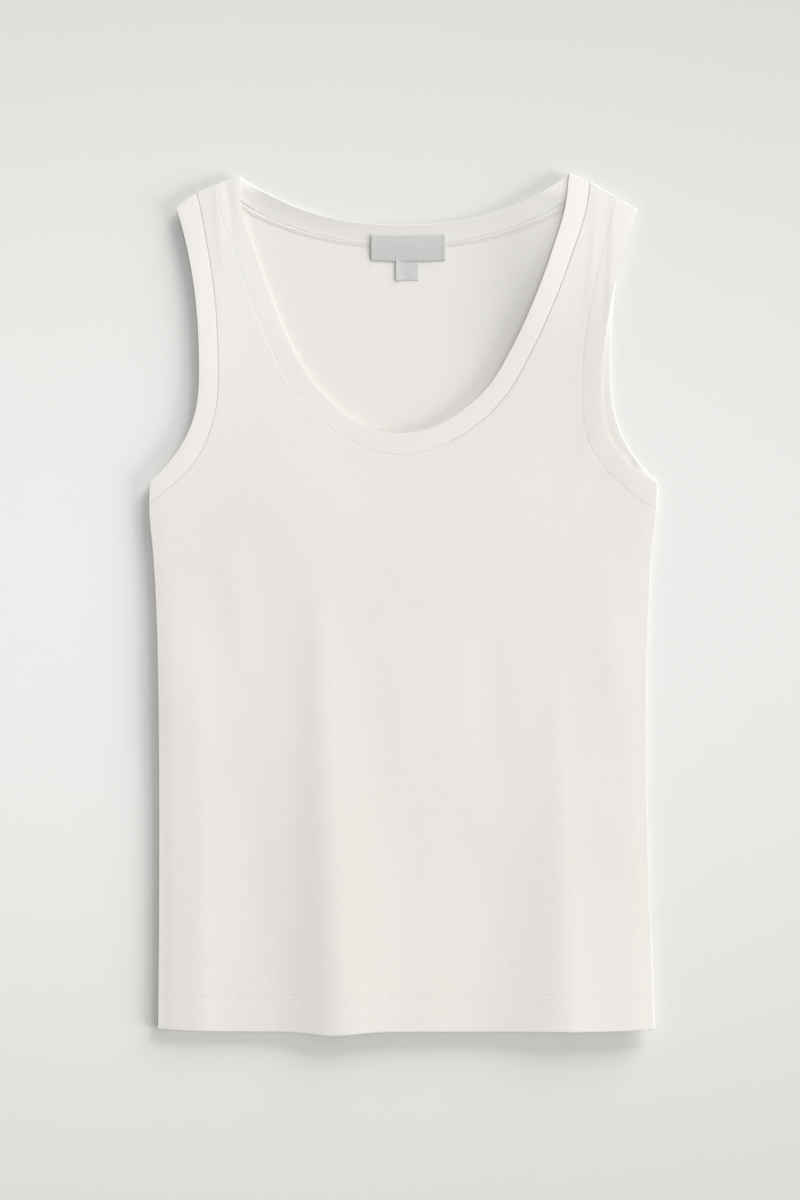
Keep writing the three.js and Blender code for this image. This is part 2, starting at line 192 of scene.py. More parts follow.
def shoulderLine(side):
    # The straight line from neck point to shoulder tip: the side it is on, its length, its
    # direction, and the direction square to it, up out of the garment
    s = sides[side]
    run = np.subtract(s["tip"], s["neck"])
    length = np.hypot(*run)
    along = run / length
    return s, length, along, np.array([-along[1], along[0]])


def shoulderRise(side, distance):
    # Straight runs from the neck point to the neck seam, to the armhole seam and to the tip
    s, length, _, _ = shoulderLine(side)
    places = [0, cut["neckSeamOnShoulder"], length - cut["armSeamOnShoulder"], length]
    return np.interp(distance, places, [0, s["neckSeamRise"], s["armSeamRise"], 0])


def shoulderPoint(side, distance):
    # On the shoulder's fold: along its line by the distance and out from it by the rise there
    s, _, along, out = shoulderLine(side)
    rise = shoulderRise(side, distance)
    neckX, neckY = s["neck"]
    return neckX + along[0] * distance + out[0] * rise, neckY + along[1] * distance + out[1] * rise


def shoulderDepth(side, x, y):
    # How far a point lies inside the shoulder's fold
    s, _, along, out = shoulderLine(side)
    dx, dy = x - s["neck"][0], y - s["neck"][1]
    return shoulderRise(side, dx * along[0] + dy * along[1]) - (dx * out[0] + dy * out[1])


def insideLine(edge, u, fullOffset, start, end):
    # A line square to the edge by the offset, which shrinks a little halfway along. Near its
    # ends it is steered by the shifts start and end, so that it meets the folds.
    offset = fullOffset * (1 - cut["bindingStretch"] / cut["bindingWidth"] * np.sin(np.pi * u))
    step = 0.004
    x, y = edge(u)
    bx, by = edge(np.clip(u - step, 0, 1))
    ax, ay = edge(np.clip(u + step, 0, 1))
    length = np.hypot(ax - bx, ay - by)
    shiftX, shiftY = -(ay - by) / length * offset, (ax - bx) / length * offset
    startShare = 1 - ease(u / cut["steerStart"])
    endShare = 1 - ease((1 - u) / cut["steerEnd"])
    shiftX = mix(mix(shiftX, start[0], startShare), end[0], endShare)
    shiftY = mix(mix(shiftY, start[1], startShare), end[1], endShare)
    return x + shiftX, y + shiftY


def neckLine(side, layer, u, offset):
    # Inside the neck edge by the offset, from the shoulder's fold to straight below the middle
    neckX, neckY = sides[side]["neck"]
    px, py = shoulderPoint(side, offset / cut["bindingWidth"] * cut["neckSeamOnShoulder"])
    start = (px - neckX, py - neckY)
    return insideLine(lambda v: neckEdge(side, layer, v), u, offset, start, (0, -offset))


def armholeLine(side, layer, u, offset):
    # Inside the armhole edge by the offset, from the shoulder's fold to the side's fold
    tipX, tipY = sides[side]["tip"]
    _, length, _, _ = shoulderLine(side)
    px, py = shoulderPoint(side, length - offset / cut["bindingWidth"] * cut["armSeamOnShoulder"])
    sideY = cut["underarmY"] - offset / cut["bindingWidth"] * sides[side]["armSeamOnSide"]
    end = (halfWidth(side, sideY) - halfWidth(side, cut["underarmY"]), sideY - cut["underarmY"])
    start = (px - tipX, py - tipY)
    return insideLine(lambda v: armholeEdge(side, layer, v), u, -offset, start, end)


def hemWave(side, layer, x, above):
    # The hem's own shape: corners that rise with a high power of the distance across, and on
    # the front a bell-shaped swing under the main fold. It dies away above the hem.
    across = np.abs(x / halfWidth(side, cut["hemY"]))
    corner = cut["hemCornerLift"] * across ** cut["hemCornerPower"]
    off = (sides[side]["sign"] * x - cut["hemSwingX"]) / cut["hemSwingWidth"]
    swing = cut["hemSwingDepth"] * np.exp(-off ** 2) if layer == "front" else 0
    return (corner - swing) * (1 - ease(above / cut["hemWaveReach"]))


# The lie of the front: long folds that run down to the hem, lifted places and soft creases

# Each fold: where its crest fades out (x, y), its x at the hem, its height there, the power by
# which it grows, and its fall to the left and to the right, at the top and at the hem
folds = {
    "main": ((-66, 44), -47, 3.1, 1.15, (8, 33), (9, 62)),
    "mainCrest": ((-65, 50), -46, 0.55, 0.8, (8, 25), (7, 17)),
    "leftSide": ((-152, -10), -149, 0.5, 0.6, (9, 13), (9, 11)),
    "right": ((112, -45), 126, 5.4, 2.3, (8, 52), (7, 260)),
    "rightCrest": ((111, -30), 124, 0.4, 0.6, (6, 20), (6, 14)),
    "hemRipple": ((18, -130), 27, 0.9, 1.3, (10, 24), (14, 55)),
}
foldStart = 6  # a crest comes up over one part in six of its length
# Places where the front stands up off the back: middle, height, and reach across and along
lifts = {
    "rightNeck": ((72, 251), 4.7, (88, 78)),
    "rightArm": ((168, 206), 2.2, (26, 88)),
    "leftNeck": ((-84, 226), -1.9, (64, 84)),
    "rightSide": ((200, -80), -0.6, (50, 260)),
    "leftPatch": ((-168, -62), 1.2, (30, 52)),
    "leftArm": ((-176, 168), 0.6, (38, 90)),
    "chest": ((-78, 72), 1.0, (52, 58)),
}
backLift = ((122, 240), 5.6, (42, 76))  # the same for the back, under the right strap
# Soft ridges, or troughs where the height is below zero: from, to, height and width
creases = [
    ((-128, 60), (-118, -60), 0.35, 11),
    ((-112, -90), (-114, -300), -0.35, 14),
    ((-6, -30), (2, -190), 0.12, 13),
    ((60, 10), (66, -150), -0.35, 16),
    ((150, 40), (158, -110), 0.35, 12),
    ((152, 150), (118, 70), 0.3, 9),
    ((-133, 334), (-125, 262), -0.22, 3.2),
    ((-140, 330), (-134, 240), 0.12, 2.6),
    ((146, 330), (134, 196), 0.13, 3.2),
    ((157, 322), (148, 176), 0.14, 2.6),
    ((151, 300), (146, 120), -0.12, 3.6),
]
creaseSwell = 1.2  # power of the half sine by which a crease swells and fades
sideFall = {  # how the front eases down towards the side folds: depth and reach, top and hem
    "left": {"depth": (0.15, 0.8), "reach": (5, 9)},
    "right": {"depth": (0.2, 0.4), "reach": (5, 8)},
    "startAbove": 20, "startOver": 60,  # it begins this far over the underarm, over this much
}
shoulderFall = {"left": 0.7, "right": 0.9, "reach": 34}  # the same towards the shoulder folds


def creaseHeight(x, y):
    # A bell across each crease, which swells and fades along it as a power of half a sine
    z = 0
    for (ax, ay), (bx, by), height, width in creases:
        dx, dy = bx - ax, by - ay
        along = ((x - ax) * dx + (y - ay) * dy) / (dx * dx + dy * dy)
        off = ((x - ax) * dy - (y - ay) * dx) / np.hypot(dx, dy)
        swell = np.sin(np.pi * np.clip(along, 0, 1)) ** creaseSwell
        z = z + height * swell * np.exp(-((off / width) ** 2))
    return z


def liftHeight(lift, x, y):
    # A bell with one width across the garment and another along it
    (middleX, middleY), height, (across, along) = lift
    dx, dy = (x - middleX) / across, (y - middleY) / along
    return height * np.exp(-dx ** 2 - dy ** 2)


def frontHeight(x, y):
    # The loft, less its sink to the right, with a bell for each fold, of one width on its left
    # and another on its right, and then the lifts and the creases
    z = cut["loft"] - cut["rightSink"] * ease(x / max(sideWidths["right"])) + 0 * y
    for (topX, topY), hemX, height, growth, left, right in folds.values():
        down = np.clip((topY - y) / (topY - cut["hemY"]), 0, 1)
        off = x - mix(topX, hemX, down)
        width = np.where(off < 0, mix(*left, down), mix(*right, down))
        crest = height * down ** growth * ease(down * foldStart)
        z = z + crest * np.exp(-((off / width) ** 2))
    for lift in lifts.values():
        z = z + liftHeight(lift, x, y)
    return z + creaseHeight(x, y)


def frontFace(side, x, y):
    # The front's height less its falls towards the side fold and the shoulder
    down = np.clip((cut["underarmY"] - y) / (cut["underarmY"] - cut["hemY"]), 0, 1)
    depth, reach = (mix(*sideFall[side][key], down) for key in ("depth", "reach"))
    below = ease((cut["underarmY"] + sideFall["startAbove"] - y) / sideFall["startOver"])
    fall = depth * np.exp(-((halfWidth(side, y) - x) / reach) ** 2) * below
    top = shoulderFall[side] * np.exp(-shoulderDepth(side, x, y) / shoulderFall["reach"])
    return frontHeight(sides[side]["sign"] * x, y) - fall - top


def place(side, layer, x, y, inset):
    # Where a point of the cloth lies, x being outwards. At the side and shoulder folds the
    # front comes down to the seam's height round a quarter ellipse, and the back rises to it
    # by a power of the nearness. The inset is measured inwards, square to the face.
    s = sides[side]
    _, _, _, out = shoulderLine(side)
    sinSide = np.clip(1 - (halfWidth(side, y) - x) / s["sideRoll"][layer], 0, 1)
    sinShoulder = np.clip(1 - shoulderDepth(side, x, y) / s["shoulderRoll"][layer], 0, 1)
    face = frontFace(side, x, y)
    up = 1 if layer == "front" else -1
    seamHeight = cut["seamShare"] * face + up * cut["seamGap"] / 2
    if layer == "front":
        flat = np.sqrt(1 - sinSide ** 2) * np.sqrt(1 - sinShoulder ** 2)
    else:
        flat = (1 - sinSide ** cut["underSide"]) * (1 - sinShoulder ** cut["underShoulder"])
        face = liftHeight(backLift, s["sign"] * x, y)
    tilt = sinSide + sinShoulder * out[0]
    normal = np.stack(np.broadcast_arrays(tilt, sinShoulder * out[1], up * flat), axis=-1)
    normal = normal / np.linalg.norm(normal, axis=-1, keepdims=True)
    point = np.stack(np.broadcast_arrays(x, y, mix(seamHeight, face, flat)), axis=-1)
    point = point - normal * np.asarray(inset)[..., None]
    return point * [s["sign"], 1, 1]


# Mesh making

uvScale = 0.01  # from millimetres to the UV maps


def inFrame(points):
    # Drawing millimetres to the frame's metres: moved by the drawing's zero, then scaled
    return (points + [originX, originY, 0]) * mm


def addObject(name, data):
    # An object in the scene, at the origin
    thing = bpy.data.objects.new(name, data)
    bpy.context.scene.collection.objects.link(thing)
    return thing


def makePiece(name, points, quads, uv, material):
    # A mesh object from arrays: points in millimetres, quads of ids and a UV for each point
    mesh = bpy.data.meshes.new(name)
    mesh.from_pydata(inFrame(points.reshape(-1, 3)), [], quads)
    layer = mesh.uv_layers.new(name="cloth")
    corners = np.empty(len(mesh.loops), dtype=np.int32)
    mesh.loops.foreach_get("vertex_index", corners)
    layer.data.foreach_set("uv", (uv.reshape(-1, 2) * uvScale)[corners].ravel())
    mesh.polygons.foreach_set("use_smooth", np.ones(len(mesh.polygons), dtype=bool))
    mesh.materials.append(material)
    mesh.validate()
    mesh.update()
    piece = addObject(name, mesh)
    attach(piece, "root")
    return piece


def gridQuads(ids):
    # The four corner ids of each cell of a grid, anticlockwise
    return np.stack([ids[:-1, :-1], ids[:-1, 1:], ids[1:, 1:], ids[1:, :-1]], axis=-1).reshape(-1, 4)


def rimQuads(outer, inner):
    # Closes the gap between two lines of ids, the outer one run anticlockwise round its sheet
    return np.stack([outer[1:], outer[:-1], inner[:-1], inner[1:]], axis=-1).reshape(-1, 4)


def wallQuads(ids, lowestSeamRow=0):
    # Both faces of a sheet and its rims. Below the given row its first column has no rim,
    # because the other half joins on there.
    outer, inner = ids
    return np.concatenate([
        gridQuads(outer), gridQuads(inner)[:, ::-1],
        rimQuads(outer[0], inner[0]), rimQuads(outer[:, -1], inner[:, -1]),
        rimQuads(outer[-1, ::-1], inner[-1, ::-1]),
        rimQuads(outer[lowestSeamRow:, 0][::-1], inner[lowestSeamRow:, 0][::-1]),
    ])


def tubeQuads(rows, columns):
    # A grid that closes on itself both ways
    ids = np.arange(rows * columns).reshape(rows, columns)
    ids = np.concatenate([ids, ids[:1]])
    return gridQuads(np.concatenate([ids, ids[:, :1]], axis=1))


# Materials

wavePeriod = 0.314159  # of a wave texture with a scale of 1


def newMaterial(name):
    # A material with an empty node tree
    material = bpy.data.materials.new(name)
    material.use_nodes = True
    material.node_tree.nodes.clear()
    return material, material.node_tree


def addNode(tree, kind, output, inputs, **settings):
    # A node with its settings, and the one of its outputs that is used. An input given as a
    # socket is linked, and any other is set.
    node = tree.nodes.new("ShaderNode" + kind)
    for key, value in settings.items():
        setattr(node, key, value)
    for key, value in inputs.items():
        if isinstance(value, bpy.types.NodeSocket):
            tree.links.new(value, node.inputs[key])
        else:
            node.inputs[key].default_value = value
    return node.outputs[output]


def addMath(tree, operation, *values):
    # The result of one operation on sockets or numbers
    return addNode(tree, "Math", "Value", dict(enumerate(values)), operation=operation)


def addWave(tree, direction, vector, pitch, wander, detail=2):
    # Bands that repeat at the pitch, in millimetres on a UV map
    scale = wavePeriod / (uvScale * pitch)
    inputs = {"Vector": vector, "Scale": scale, "Distortion": wander, "Detail": detail}
    return addNode(tree, "TexWave", "Fac", inputs, bands_direction=direction)


def addNoise(tree, vector, scale, detail=2):
    # Cloudy noise, finer for a higher scale
    inputs = {"Vector": vector, "Scale": scale, "Detail": detail}
    return addNode(tree, "TexNoise", "Fac", inputs)


def addShade(tree, share, low, high, **settings):
    # One colour turning into the other as the share goes from 0 to 1
    inputs = {"Factor": share, "A": (*low, 1), "B": (*high, 1)}
    return addNode(tree, "Mix", "Result", inputs, data_type="RGBA", **settings)


def addBump(tree, height, strength, depth, below=None):
    # Relief from a height, its depth in millimetres, on top of the relief below
    inputs = {"Height": height, "Strength": strength, "Distance": depth * mm}
    if below is not None:
        inputs["Normal"] = below
    return addNode(tree, "Bump", "Normal", inputs)


def finishMaterial(material, inputs):
    # A Principled shader with these inputs, wired to the output
    tree = material.node_tree
    surface = tree.nodes.new("ShaderNodeOutputMaterial").inputs["Surface"]
    tree.links.new(addNode(tree, "BsdfPrincipled", "BSDF", inputs), surface)
    return material


jerseyLook = {
    "colour": (0.752, 0.731, 0.692), "shade": (0.721, 0.698, 0.655),
    "roughness": 0.85, "specular": 0.25, "sheen": 0.25, "sheenRoughness": 0.5,
    "walePitch": 0.82, "waleWander": 0.6,      # ribs across the cloth
    "coursePitch": 0.64, "courseWander": 0.9,  # rows up it
    "knitDetail": 1.5,
    "yarnStretch": (90, 7, 1), "yarnDetail": 3,  # uneven yarn: long streaks up the cloth
    "slubScale": 260, "slubDetail": 5,
    "driftScale": 9, "driftDetail": 3,
    "knitTone": 0.14, "yarnTone": 0.30,        # their parts in the shade
    # painted light and shade: the colour is paler towards the shoulders and darker towards the hem
    "paintedShadeAtHem": -0.35, "paintedLightAtShoulders": 0.45,    # the shade is paler towards the shoulders
    "paintedLightFrom": -0.2, "paintedLightTo": 0.22,          # between these heights, in metres
    "knitBump": (0.35, 0.07), "slubBump": (0.6, 0.07), "yarnBump": (0.5, 0.10),
}
# The bindings' jersey is a lighter copy of the panels': painted light
paintedLightBindingLook = dict(jerseyLook, colour=(0.768, 0.747, 0.709))


def jerseyMaterial(name, look, turned=False):
    # Ribs times rows make the knit, both waves on the piece's UV map, over soft uneven slubs
    # and streaks. The shade goes between two near colours with the sum of the knit, the
    # streaks, a slow drift and the height up the garment. The height's part is painted light
    # and shade: paler towards the shoulders, darker towards the hem.
    material, tree = newMaterial(name)
    uv = addNode(tree, "UVMap", "UV", {}, uv_map="cloth")
    turn = {"Vector": uv, "Rotation": (0, 0, np.pi / 2 if turned else 0)}
    onCloth = addNode(tree, "Mapping", "Vector", turn)
    inSpace = addNode(tree, "TexCoord", "Object", {})
    detail = look["knitDetail"]
    wale = addWave(tree, "X", onCloth, look["walePitch"], look["waleWander"], detail)
    course = addWave(tree, "Y", onCloth, look["coursePitch"], look["courseWander"], detail)
    knit = addMath(tree, "MULTIPLY", wale, course)
    stretch = {"Vector": onCloth, "Scale": look["yarnStretch"]}
    stretched = addNode(tree, "Mapping", "Vector", stretch)
    yarn = addNoise(tree, stretched, 1, look["yarnDetail"])
    slub = addNoise(tree, inSpace, look["slubScale"], look["slubDetail"])
    drift = addNoise(tree, inSpace, look["driftScale"], look["driftDetail"])
    # painted light and shade: paler higher up the garment, darker towards the hem
    upper = addNode(tree, "MapRange", "Result", {
        "Value": addNode(tree, "SeparateXYZ", "Y", {"Vector": inSpace}),
        "From Min": look["paintedLightFrom"], "From Max": look["paintedLightTo"],
        "To Min": look["paintedShadeAtHem"], "To Max": look["paintedLightAtShoulders"],
    })
    streaks = addMath(tree, "MULTIPLY_ADD", yarn, look["yarnTone"], drift)
    tone = addMath(tree, "MULTIPLY_ADD", knit, look["knitTone"], streaks)
    share = addMath(tree, "ADD", upper, tone)
    relief = addBump(tree, knit, *look["knitBump"])
    relief = addBump(tree, slub, *look["slubBump"], relief)
    relief = addBump(tree, yarn, *look["yarnBump"], relief)
    return finishMaterial(material, {
        "Base Color": addShade(tree, share, look["shade"], look["colour"], clamp_factor=False),
        "Normal": relief, "Roughness": look["roughness"], "Specular IOR Level": look["specular"],
        "Sheen Weight": look["sheen"], "Sheen Roughness": look["sheenRoughness"],
    })


labelLook = {
    "colour": (0.548, 0.548, 0.540), "rib": (0.485, 0.485, 0.476),
    "roughness": 0.42, "sheen": 0.2,
    "ribPitch": 0.45, "ribWander": 0.5, "ribBump": (0.4, 0.05),
}
overlockLook = dict(
    labelLook, colour=(0.745, 0.722, 0.68), rib=(0.71, 0.685, 0.64), roughness=0.8, ribPitch=1.3,
)
# The needle thread is real; its darker colour is painted shadow in the seam's groove
shadowedNeedleLook = dict(overlockLook, colour=(0.60, 0.57, 0.52), rib=(0.53, 0.50, 0.45))


def satinMaterial(name, look):
    # Woven tape: a wave of fine slanting ribs in a second shade, with a little relief
    material, tree = newMaterial(name)
    uv = addNode(tree, "UVMap", "UV", {}, uv_map="cloth")
    rib = addWave(tree, "DIAGONAL", uv, look["ribPitch"], look["ribWander"])
    return finishMaterial(material, {
        "Base Color": addShade(tree, rib, look["rib"], look["colour"]),
        "Normal": addBump(tree, rib, *look["ribBump"]),
        "Roughness": look["roughness"], "Sheen Weight": look["sheen"],
    })


threadLook = {
    "colour": (0.79, 0.772, 0.737), "darker": 0.86, "grain": 1400,
    "roughness": 0.6, "sheen": 0.3,
}


def threadMaterial(name, look):
    # Spun thread: the shade varies along it with a fine noise
    material, tree = newMaterial(name)
    noise = addNoise(tree, addNode(tree, "TexCoord", "Object", {}), look["grain"])
    dark = [look["darker"] * c for c in look["colour"]]
    return finishMaterial(material, {
        "Base Color": addShade(tree, noise, dark, look["colour"]),
        "Roughness": look["roughness"], "Sheen Weight": look["sheen"],
    })


jersey = jerseyMaterial("offWhiteJersey", jerseyLook)
bindingJersey = jerseyMaterial("bindingJersey", paintedLightBindingLook, turned=True)
satin = satinMaterial("labelSatin", labelLook)
thread = threadMaterial("sewingThread", threadLook)
overlockThread = satinMaterial("overlockThread", overlockLook)
shadowedNeedleThread = satinMaterial("shadowedNeedleThread", shadowedNeedleLook)
print("materials made")


# Front and back panels

panel = {
    "jersey": 1.0,
    "seamGap": 0.1,
    "neckDip": {"front": 0.07, "back": 0.03},  # how the cloth goes down into a seam
    "armDip": {"front": 0.03, "back": 0.08}, "dipReach": 0.9,
    "hemHeights": (27.0, 18, 9, 3.5),          # rows of the layer that is turned up inside
    "hemTurn": 1.15, "hemSqueeze": 0.3, "hemSteps": 8,  # radius and flattening of the hem's fold
    "needleRows": (23.9, 26.9), "needleDip": 0.06, "needleReach": 0.7,
    # where the rows reach the bottom of the scoop and the underarm, and the grid's steps
    "front": {"scoopAt": 0.5, "underarmAt": 0.56, "step": 3.4},
    "back": {"scoopAt": 0.7, "underarmAt": 0.5, "step": 5.0},
    "length": 600, "belowScoop": 580.0, "strap": 205.0, "halfWidth": 190,  # rough, for the grid
    "underScoop": (0.5, 1.2, 2.2),             # extra rows under the scoop's bottom
    "underShoulder": (1.0, 11.0), "overUnderarm": 4.5,  # and over these distances from the folds
    "overHem": (0.0012, 0.0022, 0.004),        # extra rows just over the hem's fold
    "byNeedles": (0.0255, 0.042, 26),          # extra rows beside the needle lines
    "leastStep": 0.00045, "foldRows": 6, "foldColumns": 7,
    "besideSeam": (0, 0.35, 0.9, 1.8, 3.2),    # columns beside the middle line or neck seam
    "mostRoll": 0.7,                           # the most of a row that its roll takes up
    "seamSamples": 260,
}


def rollDepths(radius, steps):
    # Distances from a fold of this radius, in equal steps of angle round a quarter circle
    return radius * (1 - np.sin(np.linspace(0, np.pi / 2, steps + 1)))


def panelShares(scoopAt, underarmAt, rows):
    # Shares of the way from hem to shoulder, closer together beside seams and folds
    strap = panel["strap"] / (1 - underarmAt)
    shares = np.concatenate([
        np.linspace(0, 1, rows), [scoopAt, underarmAt],
        scoopAt - np.array(panel["underScoop"]) / panel["belowScoop"],
        *(1 - rollDepths(reach, panel["foldRows"]) / strap for reach in panel["underShoulder"]),
        underarmAt + rollDepths(panel["overUnderarm"], panel["foldRows"]) / strap,
        panel["overHem"], np.linspace(*panel["byNeedles"]),
    ])
    shares = np.unique(np.round(shares, 6))
    keep = np.concatenate([[True], np.diff(shares) > panel["leastStep"]])
    keep |= np.isin(shares, np.round([scoopAt, underarmAt, 1.0], 6))
    return shares[keep]


def panelGrid(side, layer, shares, scoopAt, underarmAt, columns):
    # The two long boundaries of half a panel, each straight below where its seam starts, with
    # straight rows ruled between them. Columns are close together beside both boundaries.
    offset = cut["bindingWidth"] + panel["seamGap"] / 2
    boundaries = []
    for line, startAt in ((neckLine, scoopAt), (armholeLine, underarmAt)):
        along = np.clip(1 - (shares - startAt) / (1 - startAt), 0, 1)
        seamX, seamY = line(side, layer, along, offset)
        endY = line(side, layer, np.array([1.0]), offset)[1][0]
        lowY = mix(cut["hemY"], endY, shares / startAt)
        lowX = halfWidth(side, lowY) if line is armholeLine else 0
        below = shares < startAt
        boundaries.append((np.where(below, lowX, seamX), np.where(below, lowY, seamY)))
    (innerX, innerY), (outerX, outerY) = boundaries
    span = np.hypot(outerX - innerX, outerY - innerY)[:, None]
    first = np.array(panel["besideSeam"])[None] * np.ones_like(span)
    inward = panel["besideSeam"][-1]
    roll = np.minimum(sides[side]["sideRoll"][layer], panel["mostRoll"] * (span - inward))
    last = span - rollDepths(roll, panel["foldColumns"])
    between = mix(inward, span - roll, np.linspace(0, 1, columns)[None, 1:-1])
    s = np.concatenate([first, between, last], axis=1) / span
    x = mix(innerX[:, None], outerX[:, None], s)
    y = mix(innerY[:, None], outerY[:, None], s)
    return x, y


def seamLines(side, layer):
    # Fine points along the neck seam and the armhole seam of one side
    u = np.linspace(0, 1, panel["seamSamples"])
    seams = (line(side, layer, u, cut["bindingWidth"]) for line in (neckLine, armholeLine))
    return [np.stack(seam, axis=-1) for seam in seams]


def distanceTo(line, x, y):
    # The least distance from each point to a line of points, in 16 parts to save memory
    flat = np.stack([x.ravel(), y.ravel()], axis=-1)
    nearest = []
    for part in np.array_split(flat, 16):
        dx, dy = (part[:, None] - line[None]).transpose(2, 0, 1)
        nearest.append(np.min(np.hypot(dx, dy), axis=1))
    return np.concatenate(nearest).reshape(x.shape)


def makePanel(name, layer):
    # Each half is a grid of rows from the middle out. Its first rows turn the hem up inside
    # round a squeezed half circle. The outer face dips into the seams and the two needle rows.
    scoopAt, underarmAt, step = (panel[layer][key] for key in ("scoopAt", "underarmAt", "step"))
    shares = panelShares(scoopAt, underarmAt, int(panel["length"] / step))
    thick, turn, squeeze = panel["jersey"], panel["hemTurn"], panel["hemSqueeze"]
    angles = np.linspace(np.pi, 0, panel["hemSteps"] + 1)[:-1]
    ups = np.array(panel["hemHeights"])
    hemRows = len(ups) + len(angles)
    sheet = shares[1:]  # the fold's last row stands in for the sheet's first
    rows = np.concatenate([np.zeros(hemRows), sheet])
    turnedUp = np.arange(len(rows)) < hemRows
    columns = int(panel["halfWidth"] / step)
    lift, inset = [], []
    for radius, inside, depth in ((turn, 2 * turn, 0), (turn - thick, 2 * turn - thick, thick)):
        bend = squeeze * (turn - radius * np.sin(angles))
        lift.append(np.concatenate([ups, bend, 0 * sheet]))
        bend = turn - radius * np.cos(angles)
        inset.append(np.concatenate([0 * ups + inside, bend, 0 * sheet + depth]))
    points, uvs, quads, start = [], [], [], 0
    for side in ("right", "left"):
        x, y = panelGrid(side, layer, rows, scoopAt, underarmAt, columns)
        sign = sides[side]["sign"]
        above = y - cut["hemY"]
        wave = hemWave(side, layer, x, above)
        dip = 0
        for seam, key in zip(seamLines(side, layer), ("neckDip", "armDip")):
            dip = dip + panel[key][layer] * np.exp(-distanceTo(seam, x, y) / panel["dipReach"])
        for row in panel["needleRows"]:
            dip = dip + panel["needleDip"] * np.exp(-(((above - row) / panel["needleReach"]) ** 2))
        dip = np.where(turnedUp[:, None], 0, dip)
        depths = inset[0][:, None] + dip, inset[1][:, None]
        block = np.stack([
            place(side, layer, x, y + wave + up[:, None], depth) for up, depth in zip(lift, depths)
        ])
        ids = start + np.arange(block[..., 0].size).reshape(block.shape[:3])
        start += ids.size
        topOfMiddle = int(np.searchsorted(rows, scoopAt - 1e-7))
        if side == "right":
            middle = ids[:, :topOfMiddle + 1, 0]
        else:
            ids[:, :topOfMiddle + 1, 0] = middle  # the halves share their middle column
        made = wallQuads(ids, topOfMiddle)
        quads.append(made if (side == "right") == (layer == "front") else made[:, ::-1])
        points.append(block.reshape(-1, 3))
        uvs.append(np.stack([np.stack([sign * x, y], axis=-1)] * 2).reshape(-1, 2))
    used, quads = np.unique(np.concatenate(quads), return_inverse=True)
    quads = quads.reshape(-1, 4)
    return makePiece(name, np.concatenate(points)[used], quads, np.concatenate(uvs)[used], jersey)


frontPanel = makePanel("frontPanel", "front")
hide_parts("front_panel")
backPanel = makePanel("backPanel", "back")
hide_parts("back_panel")
print("panels made:", len(frontPanel.data.polygons), "and", len(backPanel.data.polygons), "quads")


# Neck and armhole bindings

binding = {
    "thickness": 1.7,
    "thinning": 0.62,
    "crown": 0.06,      # how far its middle stands proud of the panel
    "bead": 0.02, "beadAt": 2.2, "beadWidth": 1.4,
    "edge": 0.2, "tuckReach": 5.5,  # thickness at the folded edge, and reach of the tuck under it
    "neckDrop": {"left": 0.02, "right": 0.24, "back": 0.03},  # how far it lies under the panel's
    "armDrop": {"left": 0.22, "right": 0.16, "back": 0.08},   # edge at the seam
    "slope": 0.65, "seamRound": 0.6,       # share of the drop over the width, the rest by the seam
    "dropReach": 120,
    "backReach": 22,    # over how far under the shoulders the front's profile turns to the back's
    "napeLift": 0.75, "napeReach": 4.5, "napeStart": 30,  # its stand and where that begins
    "puckers": 0.06, "puckerPitch": 6.5,   # small drag lines from the seam
    "puckerDrift": (1.3, 17.0), "puckerSwell": (0.4, 29.0),  # their unevenness, and over how far
    "across": 20, "step": 2.2, "leastStep": 1e-4,
}


def bindingProfile(layer):
    # A closed flat loop: out over the face from the folded edge to the seam, and back inside.
    # Offset is the distance from the edge and inset the depth under the outer face. The face
    # that shows is a low arch with a bead along the folded edge, and the hidden face tucks up
    # to that edge. Behind the neck it is the inner face that shows, and it thins to the seam.
    # The last loop is how the face that shows goes down to the seam for a drop of one.
    width = cut["bindingWidth"] - panel["seamGap"] / 2
    v = (1 - np.cos(np.linspace(0, np.pi, binding["across"]))) / 2
    offset = v * width
    tuck = (binding["thickness"] - binding["edge"]) * np.exp(-offset / binding["tuckReach"])
    arch = binding["crown"] * np.sin(np.pi * v)
    bead = binding["bead"] * np.exp(-(((offset - binding["beadAt"]) / binding["beadWidth"]) ** 2))
    proud = (arch + bead) * (1 - np.exp(-offset))
    bySeam = np.exp(-(width - offset) / binding["seamRound"])
    atSeam = binding["slope"] * ease(v) + (1 - binding["slope"]) * bySeam
    zeros = np.zeros(len(v))
    if layer == "front":
        face, under = -proud, binding["thickness"] - tuck
        outer, inner = atSeam, zeros
    else:
        face, under = tuck, binding["thickness"] - binding["thinning"] * ease(v) + proud
        outer, inner = zeros, -atSeam
    sections = ((offset, offset), (face, under), (v, v), (zeros + 1, zeros), (outer, inner))
    return [np.concatenate([there, back[:0:-1]]) for there, back in sections]


